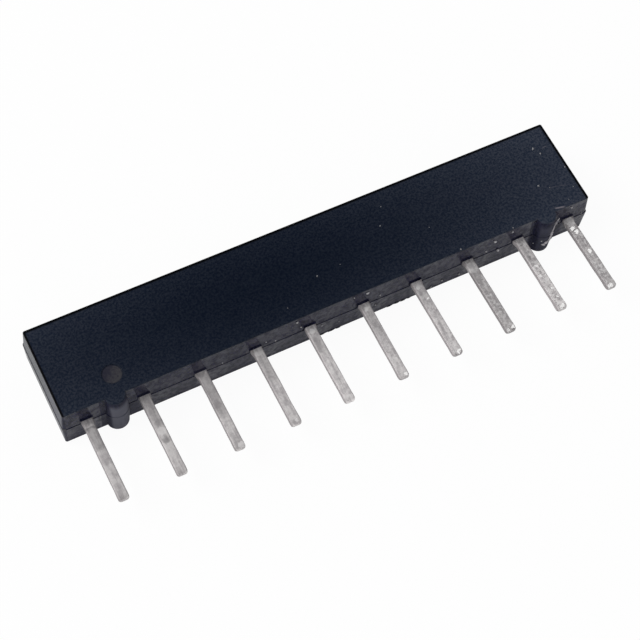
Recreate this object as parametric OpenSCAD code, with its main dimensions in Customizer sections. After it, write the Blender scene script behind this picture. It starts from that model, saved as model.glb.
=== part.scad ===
// Resistor network: a moulded single-in-line package with ten flat leads, lying on its back.
// X runs along the row of leads with lead one at -X, the leads point to -Y,
// and +Z comes out of the front face. Z = 0 is the flat back face of the moulding;
// X = Y = 0 is the middle of the moulded body. All sizes are in millimetres.
// The body is sized from the inside out: the films lie on a plate, the leads lap onto
// the films, and covers of epoxy close everything in.

/* [Leads] */
// Number of leads in the row
lead_count = 10; // [4:1:14]
// Distance between neighbouring leads
lead_pitch = 2.54; // [1.78:0.01:5.08]
// Width of a lead below its shoulders
lead_width = 0.46; // [0.3:0.01:0.7]
// Thickness of the lead strip
lead_thickness = 0.25; // [0.15:0.01:0.4]
// Lead length from the ends of the standoffs to the tip
lead_length = 3.46; // [2:0.01:6]
// Reach of a lead shoulder past the side of the lead
shoulder_reach = 0.03; // [0.02:0.01:0.2]
// Length of the slope from the shoulder down to the lead width
shoulder_slope = 0.3; // [0.05:0.01:0.5]
// Corner rounding of a lead tip, seen from the front
tip_radius = 0.1; // [0.02:0.01:0.2]
// Bevel on the front and back edge of a lead tip
tip_bevel = 0.05; // [0.01:0.01:0.1]
// Length of lead lapped onto its pad
lap_length = 0.75; // [0.4:0.01:1.2]

/* [Moulded body] */
// Epoxy in front of the leads, up to the front face
front_cover = 0.88; // [0.5:0.01:1.2]
// Epoxy behind the plate, down to the back face
back_cover = 0.565; // [0.3:0.005:1]
// Epoxy between the plate and each end of the body, at the parting line
end_cover = 0.395; // [0.2:0.005:1]
// Epoxy between the plate and the top of the body, at the parting line
top_cover = 0.53; // [0.2:0.01:1]
// Epoxy between the plate and the lead side of the body, at the parting line
lead_side_cover = 0.51; // [0.3:0.01:1]
// Draft angle of the front half
front_draft = 4.2; // [1:0.1:10]
// Draft angle of the back half
back_draft = 2.5; // [1:0.1:10]
// Ledge by which the back half stands out at the parting line
parting_ledge = 0.02; // [0.01:0.01:0.1]
// Rounding of the upright corners, next to the front face and the back face
corner_radius = 0.09; // [0.06:0.01:0.4]
// Bevel around the front face and the back face
edge_bevel = 0.03; // [0.01:0.01:0.06]

/* [Standoffs] */
// Width of a standoff rib at the parting line
standoff_width = 1.06; // [0.7:0.01:1.4]
// Distance a standoff rib reaches past the lead side of the body
standoff_height = 0.4; // [0.2:0.01:0.6]
// Shift of the standoff ribs along the row, from the middle between two leads
standoff_shift = 0.08; // [0:0.01:0.3]

/* [Flash collars] */
// Distance a flash collar reaches along its lead
collar_reach = 0.02; // [0.01:0.01:0.2]
// Thickness of the flash skin around the lead
collar_skin = 0.02; // [0.01:0.01:0.06]

/* [Pin-one mark] */
// Diameter of the pin-one mark
mark_diameter = 0.88; // [0.4:0.01:1.6]
// Depth of the pin-one mark
mark_depth = 0.03; // [0.01:0.01:0.1]
// Distance of the mark from lead one, along the row
mark_offset = 1.61; // [0:0.01:2.5]
// Distance of the middle of the mark from the lower edge of the front face
mark_rise = 0.93; // [0.6:0.01:3]

/* [Plate and films] */
// Thickness of the alumina plate
plate_thickness = 0.635; // [0.3:0.005:0.8]
// Bare border between the films and the edge of the plate
film_border = 0.15; // [0.05:0.01:0.4]
// Thickness of the conductor film
conductor_thickness = 0.03; // [0.015:0.005:0.06]
// Bare rim of a pad beside the solder
pad_rim = 0.12; // [0.02:0.01:0.25]
// Width of the common bus along the top edge
bus_width = 0.45; // [0.4:0.01:0.8]
// Step from the side of a pad in to the side of its resistor
resistor_inset = 0.08; // [0.02:0.01:0.2]
// Length of a resistor between its pad and the bus
resistor_length = 1.51; // [0.8:0.01:4]
// Thickness of the resistor film above the conductor
resistor_thickness = 0.025; // [0.015:0.005:0.06]
// Overlap of a resistor on the conductor at each of its ends
film_overlap = 0.15; // [0.05:0.01:0.25]
// Width of a laser-trim slot
trim_width = 0.06; // [0.03:0.01:0.15]
// Length of the shortest trim slot
trim_reach = 0.3; // [0.1:0.01:0.45]
// Further length of the trim slot from one resistor to the next
trim_step = 0.06; // [0.01:0.01:0.1]
// Number of resistors after which the trim lengths repeat
trim_cycle = 4; // [2:1:6]

/* [Overglaze] */
// Thickness of the overglaze above the resistors
glaze_thickness = 0.03; // [0.015:0.005:0.06]
// Clearance between the inner end of a lead and the overglaze
glaze_gap = 0.12; // [0.05:0.01:0.3]
// Reach of the overglaze past the resistors on every side
glaze_lip = 0.1; // [0.03:0.01:0.2]

/* [Solder] */
// Solder left between a lead and its pad
solder_thickness = 0.05; // [0.02:0.01:0.1]
// Width of the solder fillet on each side of a lead
solder_foot = 0.12; // [0.05:0.01:0.2]
// Height of the solder fillet up the side of a lead
solder_rise = 0.12; // [0.05:0.01:0.14]

/* [Hidden] */
$fn = 64;
// sides of the small posts at the corners of the body
corner_facets = 32;
// how far a cutting shape runs past the face it cuts
cut_over = 0.2;
// how far a cutting shape reaches into the layer that its piece lies on
cut_root = 0.01;

// heights of the layers, from the back face up
plate_back_z = back_cover;
plate_front_z = plate_back_z + plate_thickness;
pad_z = plate_front_z + conductor_thickness;
film_z = pad_z + resistor_thickness;
glaze_z = film_z + glaze_thickness;
lead_z = pad_z + solder_thickness;
lead_front_z = lead_z + lead_thickness;
body_thickness = lead_front_z + front_cover;

// the parting line runs along the back of the leads
parting_z = lead_z;
front_depth = body_thickness - parting_z;
front_taper = (front_depth - edge_bevel) * tan(front_draft);

// widths along the row
neck_width = lead_width + 2 * shoulder_reach;
pad_width = neck_width + 2 * solder_foot + 2 * pad_rim;
row_half = (lead_count - 1) * lead_pitch / 2;
film_half_length = row_half + pad_width / 2;
plate_half_length = film_half_length + film_border;
body_half_length = plate_half_length + end_cover;
resistor_half = pad_width / 2 - resistor_inset;

// heights along the leads, from the lead side of the body up to its top
pad_height = lap_length + glaze_gap + glaze_lip + film_overlap;
film_height = pad_height + resistor_length + bus_width;
plate_height = film_height + 2 * film_border;
body_half_height = (lead_side_cover + plate_height + top_cover) / 2;
lead_face_y = -body_half_height;
plate_low_y = lead_face_y + lead_side_cover;
plate_high_y = plate_low_y + plate_height;
pad_low_y = plate_low_y + film_border;
lead_end_y = pad_low_y + lap_length;
glaze_low_y = lead_end_y + glaze_gap;
resistor_low_y = glaze_low_y + glaze_lip;
pad_high_y = resistor_low_y + film_overlap;
bus_low_y = pad_high_y + resistor_length;
bus_high_y = bus_low_y + bus_width;
resistor_high_y = bus_low_y + film_overlap;
glaze_high_y = resistor_high_y + glaze_lip;
trim_y = pad_high_y + resistor_length / 2;

// heights outside the body, down to the lead tips
seat_y = lead_face_y - standoff_height;
tip_y = seat_y - lead_length;
collar_y = lead_face_y - parting_ledge - collar_reach;
strip_y = collar_y - shoulder_slope;

standoff_x = row_half - lead_pitch / 2;
standoff_y = seat_y + standoff_width / 2;

mark_x = -row_half + mark_offset;
mark_y = lead_face_y + front_taper + mark_rise;

function lead_x(i) = (i - 1) * lead_pitch - row_half;

function trim_length(i) = trim_reach + trim_step * (i % trim_cycle);

// a block from two opposite corners
module block(low, high) {
    translate(low)
        cube(high - low);
}

// a drafted round post, wide at the bottom and bevelled at the top
module drafted_post(radius, depth, taper) {
    top_radius = radius - taper;
    cylinder(h = depth - edge_bevel, r1 = radius, r2 = top_radius);
    translate([0, 0, depth - edge_bevel])
        cylinder(h = edge_bevel, r1 = top_radius, r2 = top_radius - edge_bevel);
}

// one half of the body: a hull around a post at each rounded corner, and the two standoff ribs
module drafted_half(grow, depth, draft) {
    taper = (depth - edge_bevel) * tan(draft);
    post_radius = corner_radius + taper;
    post_x = body_half_length + grow - post_radius;
    post_y = body_half_height + grow - post_radius;
    hull()
        for (x = [-post_x, post_x], y = [-post_y, post_y])
            translate([x, y, 0])
                drafted_post(post_radius, depth, taper, $fn = corner_facets);
    for (x = [-standoff_x, standoff_x])
        translate([x + standoff_shift, standoff_y, 0])
            drafted_post(standoff_width / 2 + grow, depth, taper);
}

module front_half() {
    translate([0, 0, parting_z])
        drafted_half(0, front_depth, front_draft);
}

module back_half() {
    translate([0, 0, parting_z])
        mirror([0, 0, 1])
            drafted_half(parting_ledge, parting_z, back_draft);
}

// thin epoxy skin around the root of every lead
module flash_collars() {
    half_width = neck_width / 2 + collar_skin;
    for (i = [1 : lead_count])
        translate([lead_x(i), 0, 0])
            block(
                [-half_width, collar_y, lead_z - collar_skin],
                [half_width, plate_low_y, lead_front_z + collar_skin]
            );
}

module pin_one_mark() {
    translate([mark_x, mark_y, body_thickness - mark_depth])
        cylinder(h = mark_depth + cut_over, d = mark_diameter);
}

module plate() {
    block(
        [-plate_half_length, plate_low_y, plate_back_z],
        [plate_half_length, plate_high_y, plate_front_z]
    );
}

// the pad of lead one with the bus that runs along the top edge of the plate
module bus(root = 0) {
    translate([0, 0, plate_front_z - root])
        linear_extrude(height = conductor_thickness + root)
            polygon([
                [-film_half_length, pad_low_y],
                [-film_half_length + pad_width, pad_low_y],
                [-film_half_length + pad_width, bus_low_y],
                [film_half_length, bus_low_y],
                [film_half_length, bus_high_y],
                [-film_half_length, bus_high_y]
            ]);
}

module lead_pad(i, root = 0) {
    translate([lead_x(i), 0, 0])
        block(
            [-pad_width / 2, pad_low_y, plate_front_z - root],
            [pad_width / 2, pad_high_y, pad_z]
        );
}

// a resistor from the plate up, with one trim slot from the side
module resistor_column(i, root = 0) {
    translate([lead_x(i), 0, 0])
        difference() {
            block(
                [-resistor_half, resistor_low_y, plate_front_z - root],
                [resistor_half, resistor_high_y, film_z]
            );
            block(
                [-resistor_half - cut_over, trim_y - trim_width / 2, plate_front_z - cut_over],
                [-resistor_half + trim_length(i), trim_y + trim_width / 2, film_z + cut_over]
            );
        }
}

module glaze_strip(root = 0) {
    block(
        [lead_x(2) - resistor_half - glaze_lip, glaze_low_y, plate_front_z - root],
        [lead_x(lead_count) + resistor_half + glaze_lip, glaze_high_y, glaze_z]
    );
}

// lead outline seen from the front: neck, sloped shoulders, strip and rounded tip
module lead_outline() {
    half = lead_width / 2;
    polygon([
        [-neck_width / 2, lead_end_y],
        [-neck_width / 2, collar_y],
        [-half, strip_y],
        [-half, tip_y + tip_radius],
        [half, tip_y + tip_radius],
        [half, strip_y],
        [neck_width / 2, collar_y],
        [neck_width / 2, lead_end_y]
    ]);
    translate([-half + tip_radius, tip_y])
        square([lead_width - 2 * tip_radius, 2 * tip_radius]);
    for (x = [-1, 1])
        translate([x * (half - tip_radius), tip_y + tip_radius])
            circle(r = tip_radius);
}

// wedge that takes the front edge off a lead tip, with the front of the lead at zero height
module tip_wedge() {
    rotate([90, 0, 90])
        linear_extrude(height = lead_width + 2 * cut_over, center = true)
            polygon([
                [tip_y - cut_over, -tip_bevel - cut_over],
                [tip_y + tip_bevel + cut_over, cut_over],
                [tip_y - cut_over, cut_over]
            ]);
}

module lead_strip(i) {
    translate([lead_x(i), 0, lead_z])
        difference() {
            linear_extrude(height = lead_thickness)
                lead_outline();
            translate([0, 0, lead_thickness])
                tip_wedge();
            mirror([0, 0, 1])
                tip_wedge();
        }
}

// solder bed under a lead with a sloped fillet up both of its sides
module solder_bed(i, root = 0) {
    bed_height = solder_thickness + solder_rise;
    foot = neck_width / 2 + solder_foot * (bed_height + root) / bed_height;
    translate([lead_x(i), lead_end_y, pad_z])
        rotate([90, 0, 0])
            linear_extrude(height = lap_length)
                polygon([
                    [-foot, -root],
                    [foot, -root],
                    [neck_width / 2, bed_height],
                    [-neck_width / 2, bed_height]
                ]);
}

// everything that is buried in the epoxy
module insert() {
    plate();
    bus(cut_root);
    glaze_strip(cut_root);
    for (i = [2 : lead_count])
        lead_pad(i, cut_root);
    for (i = [1 : lead_count]) {
        solder_bed(i, cut_root);
        lead_strip(i);
    }
}

module moulded_body() {
    color("#1a1d26")
        difference() {
            union() {
                front_half();
                back_half();
                flash_collars();
            }
            pin_one_mark();
            insert();
        }
}

module ceramic_plate() {
    color("#e8e3d6")
        plate();
}

module common_bus() {
    color("#c3bfb2")
        bus();
}

module overglaze() {
    color("#3d7a58")
        difference() {
            glaze_strip();
            bus(cut_root);
            for (i = [2 : lead_count]) {
                lead_pad(i, cut_root);
                resistor_column(i, cut_root);
            }
        }
}

module lead(i) {
    color("#c2c2c0")
        lead_strip(i);
}

module solder(i) {
    color("#a6aab0")
        difference() {
            solder_bed(i);
            lead_strip(i);
        }
}

module pad(i) {
    color("#c3bfb2")
        lead_pad(i);
}

// a resistor laps onto its pad at one end and onto the bus at the other
module resistor(i) {
    color("#2b2a2f")
        difference() {
            resistor_column(i);
            lead_pad(i, cut_root);
            bus(cut_root);
        }
}

moulded_body();
ceramic_plate();
common_bus();
overglaze();
for (i = [1 : lead_count]) {
    lead(i);
    solder(i);
}
for (i = [2 : lead_count]) {
    pad(i);
    resistor(i);
}
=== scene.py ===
"""Finishes, tinned leads, surface wear and studio for a moulded single-in-line resistor network."""

import math
import random
from typing import NamedTuple

import bmesh
import bpy
from bpy.props import FloatProperty, FloatVectorProperty, PointerProperty
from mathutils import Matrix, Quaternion, Vector, noise
from mathutils.bvhtree import BVHTree


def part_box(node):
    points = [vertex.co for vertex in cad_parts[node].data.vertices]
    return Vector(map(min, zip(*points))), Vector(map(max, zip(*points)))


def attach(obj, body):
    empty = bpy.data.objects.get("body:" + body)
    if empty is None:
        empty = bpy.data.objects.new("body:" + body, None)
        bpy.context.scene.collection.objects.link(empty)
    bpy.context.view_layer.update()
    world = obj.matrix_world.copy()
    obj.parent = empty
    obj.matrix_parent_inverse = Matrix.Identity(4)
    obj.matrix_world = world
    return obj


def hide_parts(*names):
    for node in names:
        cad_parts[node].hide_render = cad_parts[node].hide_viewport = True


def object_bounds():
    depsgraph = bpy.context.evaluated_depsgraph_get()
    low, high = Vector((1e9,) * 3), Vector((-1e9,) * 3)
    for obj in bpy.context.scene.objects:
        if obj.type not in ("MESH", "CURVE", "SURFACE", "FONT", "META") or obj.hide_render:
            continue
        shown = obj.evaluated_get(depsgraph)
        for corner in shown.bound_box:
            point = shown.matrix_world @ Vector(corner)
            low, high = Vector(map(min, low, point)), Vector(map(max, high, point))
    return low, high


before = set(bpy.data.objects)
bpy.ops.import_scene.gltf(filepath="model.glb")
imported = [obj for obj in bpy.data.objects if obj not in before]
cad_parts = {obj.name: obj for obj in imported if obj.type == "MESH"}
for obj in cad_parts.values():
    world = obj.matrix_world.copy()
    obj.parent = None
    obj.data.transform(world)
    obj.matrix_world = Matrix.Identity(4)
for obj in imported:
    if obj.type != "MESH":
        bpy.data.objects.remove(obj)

bl_info = {
    "name": "Resistor network",
    "version": (1, 0, 0),
    "blender": (4, 5, 0),
    "location": "3D View > Sidebar > Network",
    "description": "Dresses a moulded single-in-line resistor network and sets up its studio",
    "category": "Object",
}

CAD_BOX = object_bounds()
BODY = "root"
MM = 0.001  # one millimetre in metres
TOUCH = 0.002 * MM  # points closer than this share a face
LEAD_COUNT = sum(name.startswith("lead_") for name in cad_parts)
BODY_LOW, BODY_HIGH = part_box("moulded_body")
BODY_POINTS = [vertex.co.copy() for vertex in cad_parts["moulded_body"].data.vertices]
DOT_BAND = (0.01 * MM, 0.06 * MM)  # depths between which the floor of the pin-one dot lies
DOT_SPAN = 0.8  # share of the body's half height within which the dot lies

# Levels of the body, in millimetres of the part's frame.
FRONT = BODY_HIGH.z / MM
LEFT_END = BODY_LOW.x / MM
RIB_END = BODY_LOW.y / MM
RIB_FOOT = RIB_END + 0.36  # the standoffs lie beyond this level

# Where the finish of the body changes, in millimetres from the level that is named.
# A pair goes from 0 to 1, and a row of four is 1 between its middle two.
FACE_FADE = (-0.05, -0.01)  # front: from smooth sides to the matt face
TINT_FADE = (-0.10, -0.06)  # front: from the colour of the sides to that of the face
RUB_FADE = (-0.15, -0.60)  # front: from bare to rubbed standoffs
RUB_ALONG = (5.0, -5.0)  # middle: from the less rubbed standoff to the other
BACK_FADE = (-0.25, 0.45)  # back: from dull to glossy sides
END_FADE = (0.12, 0.20)  # left end: from dull to glossy
CORNER_FADE = (0.20, 1.60)  # left end: from the dulled corner to full gloss
FLAT_FADE = (0.0, 0.05)  # foot of the standoffs: from them to the flat side
ROW_FADE = (0.80, 0.50)  # foot of the standoffs: from the end faces to the lead side
LEAD_SIDE = (0.50, -1.50)  # middle: from the calm far half to the lead side
HALVES = (0.05, -0.05)  # parting: from the front half to the back half
WAKE_FADE = (0.0, -0.10)  # parting: from clear to dulled beside the standoffs
LEDGE = (-0.07, -0.04, 0.03, 0.06)  # parting: the ledge, painted light at the left end to hide its dark line of shade
LEE_SHADE = (-0.27, -0.20, 0.08, 0.20)  # left side of a standoff: the strip before it, with painted shade in its colour and duller gloss
WAKE = (-0.05, 0.0, 0.30, 0.50)  # right side of a standoff: the dull strip after it
SINK = (0.30, 0.65, 0.90, 1.00)  # in pitches after a lead: where the side gets duller
RIM_SHADE = (-0.4, -1.0)  # right and far edges, in widths of the rim: from the painted dark rim of shade to the face
RIM_SHADE_LEFT = (0.2, 0.6)  # left edge, in widths of the rim: from the painted dark rim of shade to the face

# Marks on the body, in millimetres of the part's frame.
FACE_SCRATCHES = (  # start, end, half width and strength
    ((11.05, -0.95), (11.95, -1.18), 0.03, 0.22),
    ((11.80, 0.98), (12.05, 1.00), 0.03, 0.4),
    ((10.70, -1.98), (11.24, -2.10), 0.05, 1.0),
    ((8.9, -0.4), (10.3, -1.3), 0.02, 0.10),
)
FACE_FLECKS = (  # x, y, width, and how long it is for its width
    (11.40, 1.10, 0.075, 2.2), (11.58, 0.75, 0.09, 1.3), (12.22, -0.31, 0.08, 1.1),
    (10.65, -0.68, 0.09, 1.1), (11.07, -0.96, 0.06, 1.1), (12.05, -1.35, 0.05, 1.2),
    (11.53, -1.84, 0.05, 1.1), (5.99, -2.06, 0.07, 1.1), (8.57, -2.07, 0.06, 1.2),
    (-2.00, -1.49, 0.05, 1.2), (-0.20, -0.64, 0.07, 1.5), (0.94, -0.54, 0.04, 1.2),
    (3.37, 0.43, 0.06, 1.2), (3.85, 1.28, 0.04, 1.8), (5.27, -0.52, 0.04, 1.5),
)
SIDE_FLECKS = (  # x, z, width, and how long it is for its width
    (7.69, 2.02, 0.13, 1.2), (7.92, 1.24, 0.13, 1.0), (8.55, 2.20, 0.08, 1.1),
    (7.31, 1.48, 0.07, 1.1), (6.12, 0.36, 0.10, 1.1), (5.23, 0.48, 0.10, 1.1),
    (4.74, 0.22, 0.08, 1.2), (12.16, 1.40, 0.08, 1.1), (10.95, 1.70, 0.08, 1.0),
    (11.52, 2.19, 0.10, 1.0), (9.78, 0.63, 0.06, 1.0), (10.00, 1.02, 0.06, 1.2),
    (-3.32, 1.63, 0.06, 1.3), (-2.88, 1.41, 0.06, 1.2), (-1.87, 2.16, 0.09, 1.8),
    (-1.69, 1.65, 0.06, 1.2), (-5.33, 1.41, 0.05, 1.3), (0.17, 0.68, 0.06, 1.2),
    (-0.68, 1.05, 0.08, 1.4), (1.47, 2.15, 0.09, 1.8), (2.08, 1.55, 0.07, 1.1),
    (1.91, 0.86, 0.08, 1.1), (0.82, 2.20, 0.07, 1.1), (3.22, 0.12, 0.06, 1.2),
    (10.44, 1.02, 0.11, 1.3),
)
EDGE_CRUMBS = (  # x, z, width, and how long it is for its width
    (-0.58, 0.06, 0.10, 3.0), (-0.15, 0.07, 0.11, 3.2), (0.20, 0.06, 0.10, 2.6),
    (1.75, 0.06, 0.08, 2.4), (2.70, 0.06, 0.10, 3.0), (3.05, 0.08, 0.12, 2.6),
    (3.35, 0.07, 0.11, 2.8), (3.65, 0.06, 0.09, 2.4),
)
FACE_LEANS = (0.4, 1.2)  # how far the flecks of the front face may lie askew
SIDE_LEANS = (-0.6, 0.9)
CRUMB_LEANS = (-0.06, 0.06)
FLECK_CORNERS = 9
FLECK_SPREAD = (0.7, 1.2)  # how much the corners of a fleck reach out, for its half width
FLECK_SINK = 0.05  # how deep a fleck lies in the skin, for its width
FLECK_RINGS = ((0.85, 0.7), (0.45, 1.0))  # rings of a fleck: share of its outline and of its height
FLASH_ROUTES = (  # x and z along the torn flash beside the last standoff, then down its end
    ((10.95, 1.68), (10.92, 1.55), (10.88, 1.40), (10.84, 1.26)),
    (
        (10.60, 1.78), (10.53, 1.60), (10.46, 1.42), (10.41, 1.20),
        (10.42, 0.95), (10.33, 0.80), (10.22, 0.72), (10.11, 0.59),
    ),
)
FLASH_SPREADS = ((0.8, 1.0), (1.5, 1.8))  # share of the sliver's width at the start and end of each
FLASH_STEPS = 5  # sections between two points of a route
FLASH_SECTION = ((-1.0, -0.2), (-0.75, 0.75), (0.1, 1.0), (0.8, 0.6), (1.0, -0.2))  # aside and up
FLASH_WIDTHS = (0.45, 1.4)  # how much the width of the flash varies
FLASH_HEIGHTS = (0.7, 1.3)
FLASH_SWAY = 0.2  # how far the flash strays aside, for its width


class Tint(NamedTuple):
    """A kind of mark on the leads."""

    colour: tuple
    core: float  # how far its full strength reaches
    metal: float  # what it adds to the metallic share of the coat
    facet: bool = False  # whether it is a smooth patch that leans to the light


# Painted glint: near-white colour on small smooth patches that lean to the light, so they also reflect it.
PAINTED_GLINT = Tint((0.97, 0.96, 0.95), 0.5, 0.1, facet=True)
# Paler patches: on the tips of leads 3 and 4 a painted soft highlight, elsewhere a paler coat.
PALE = Tint((0.95, 0.93, 0.92), 0.5, -0.4)
# Dark marks: real smudges, as on lead 2, and the colour of the painted shade in the bands.
SOOT_AND_SHADE = Tint((0.17, 0.16, 0.165), 0.0, -0.4)
FACET_FALL = (0.51, -0.23)  # slope of the bright facets, across and along the lead
FACET_POLISH = 0.25  # how much smoother they are than the coat
COAT_RELIEF = 0.02  # height of the unevenness of the coat, in millimetres
COAT_WAVES = ((2.3, 1.0), (6.1, 0.45))  # waves of the coat: how many in a millimetre, and their share
WAVE_STRETCH = 0.6  # the waves are longer along the lead
EDGE_SHADE = (0.66, 1.15)  # shares of the squared half width between which painted shade darkens the coat towards its long edges
TIP_SHADE = (-1.0, 0.04, 0.04, 0.5)  # the painted shade along the end of a tip, as a band


class Coat(NamedTuple):
    """What sets one lead apart from the others."""

    shade: float  # brightness of its coat
    grit: float  # strength of the pits and glints
    lean: tuple  # its shift aside at the shoulder and at the tip, in millimetres
    bands: tuple  # dark bands of painted shade, towards the root and where lead 1 bends: start and end from the tip, softness and strength
    marks: tuple = ()  # place across the lead, from its tip, reach, tint and strength


LEAD_COATS = (
    Coat(0.79, 0.08, (-0.010, 0.010), ((2.36, 3.38, 0.04, 0.32), (3.36, 3.44, 0.04, 0.7))),
    Coat(
        0.84, 0.10, (-0.015, 0.015), ((2.50, 3.35, 0.25, 0.17),),
        ((0.10, 2.45, 0.26, SOOT_AND_SHADE, 0.55), (0.0, 1.61, 0.20, SOOT_AND_SHADE, 0.75), (0.02, 2.05, 0.2, PALE, 0.25)),
    ),
    Coat(
        0.88, 0.14, (0.030, 0.045), ((1.65, 3.40, 0.25, 0.31),),
        ((0.08, 0.17, 0.15, PALE, 0.4),),
    ),
    Coat(
        0.95, 0.18, (0.030, 0.050), ((2.10, 3.40, 0.30, 0.22),),
        ((0.06, 0.16, 0.11, PALE, 0.45), (-0.05, 3.58, 0.15, PALE, 0.4)),
    ),
    Coat(
        1.08, 0.24, (-0.040, -0.020), ((2.35, 3.30, 0.25, 0.24),),
        ((-0.02, 3.55, 0.15, PALE, 0.55),),
    ),
    Coat(
        1.01, 0.30, (0.000, -0.020), (TIP_SHADE, (2.20, 3.35, 0.25, 0.22)),
        ((0.12, 0.14, 0.10, PAINTED_GLINT, 0.95), (-0.02, 3.55, 0.12, PALE, 0.65)),
    ),
    Coat(
        1.05, 0.38, (-0.020, 0.010), (TIP_SHADE, (2.60, 3.35, 0.25, 0.18)),
        ((0.06, 0.14, 0.11, PAINTED_GLINT, 0.9), (0.08, 2.86, 0.06, PAINTED_GLINT, 0.8), (-0.05, 3.5, 0.1, PALE, 0.6)),
    ),
    Coat(
        0.77, 0.45, (0.030, 0.060), (TIP_SHADE,),
        ((0.14, 0.13, 0.09, PAINTED_GLINT, 0.95), (-0.13, 0.13, 0.07, PAINTED_GLINT, 0.6), (0.0, 3.4, 0.3, PALE, 0.3)),
    ),
    Coat(
        1.13, 0.62, (0.030, 0.055), (TIP_SHADE, (2.40, 3.20, 0.25, 0.20)),
        (
            (-0.03, 0.10, 0.08, PAINTED_GLINT, 1.0), (0.09, 0.12, 0.08, PAINTED_GLINT, 1.0),
            (0.14, 0.32, 0.06, PAINTED_GLINT, 0.9), (0.06, 0.63, 0.06, PAINTED_GLINT, 1.0),
            (0.07, 1.05, 0.07, PAINTED_GLINT, 1.0), (-0.10, 1.79, 0.09, PALE, 0.8),
            (0.0, 2.30, 0.09, PALE, 0.8), (-0.04, 2.78, 0.10, SOOT_AND_SHADE, 0.7),
            (0.06, 2.64, 0.08, SOOT_AND_SHADE, 0.5),
        ),
    ),
    Coat(
        0.82, 0.58, (-0.035, 0.015), (TIP_SHADE,),
        (
            (-0.12, 0.09, 0.08, PAINTED_GLINT, 1.0), (0.0, 0.10, 0.09, PAINTED_GLINT, 1.0),
            (-0.07, 3.27, 0.11, PAINTED_GLINT, 1.0), (0.04, 3.05, 0.14, PAINTED_GLINT, 1.0),
            (0.02, 1.96, 0.10, PAINTED_GLINT, 1.0), (0.0, 3.60, 0.28, PALE, 0.4),
        ),
    ),
)


class Layer(NamedTuple):
    """Unevenness and shine of a fine layer or a loose grain."""

    scale: float  # dark patches in a millimetre
    spread: float  # share of its brightness that the dark patches lose
    depth: float  # height of its grain, in millimetres
    rough: float
    metal: float = 0.0


LAYERS = {
    "face_dust": Layer(9.0, 0.5, 0.004, 0.8),
    "dust": Layer(9.0, 0.5, 0.004, 0.8),
    "epoxy_crumbs": Layer(7.0, 0.5, 0.004, 0.6),
    "torn_flash": Layer(7.0, 0.55, 0.004, 0.5),
    "alumina_plate": Layer(2.0, 0.12, 0.004, 0.6),
    "silver_film": Layer(5.0, 0.2, 0.003, 0.45, 0.9),
    "resistor_film": Layer(6.0, 0.35, 0.003, 0.7),
    "glass_coat": Layer(2.5, 0.25, 0.002, 0.15),
    "solder_joint": Layer(4.0, 0.2, 0.004, 0.3, 1.0),
}


def colour(label, tells, default):
    """A colour that a user may change."""
    return FloatVectorProperty(
        name=label, description=tells, subtype="COLOR", size=3, min=0.0, max=1.0, default=default
    )


def length(label, tells, millimetres):
    """A length that a user may change, given in millimetres and kept in metres."""
    return FloatProperty(
        name=label, description=tells, subtype="DISTANCE", precision=5, default=millimetres * MM
    )


def angle(label, tells, degrees):
    """An angle that a user may change, given in degrees and kept in radians."""
    return FloatProperty(
        name=label, description=tells, subtype="ANGLE", default=math.radians(degrees)
    )


def amount(label, tells, default, top=1.0):
    """A plain number that a user may change."""
    return FloatProperty(name=label, description=tells, default=default, min=0.0, max=top)


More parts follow.
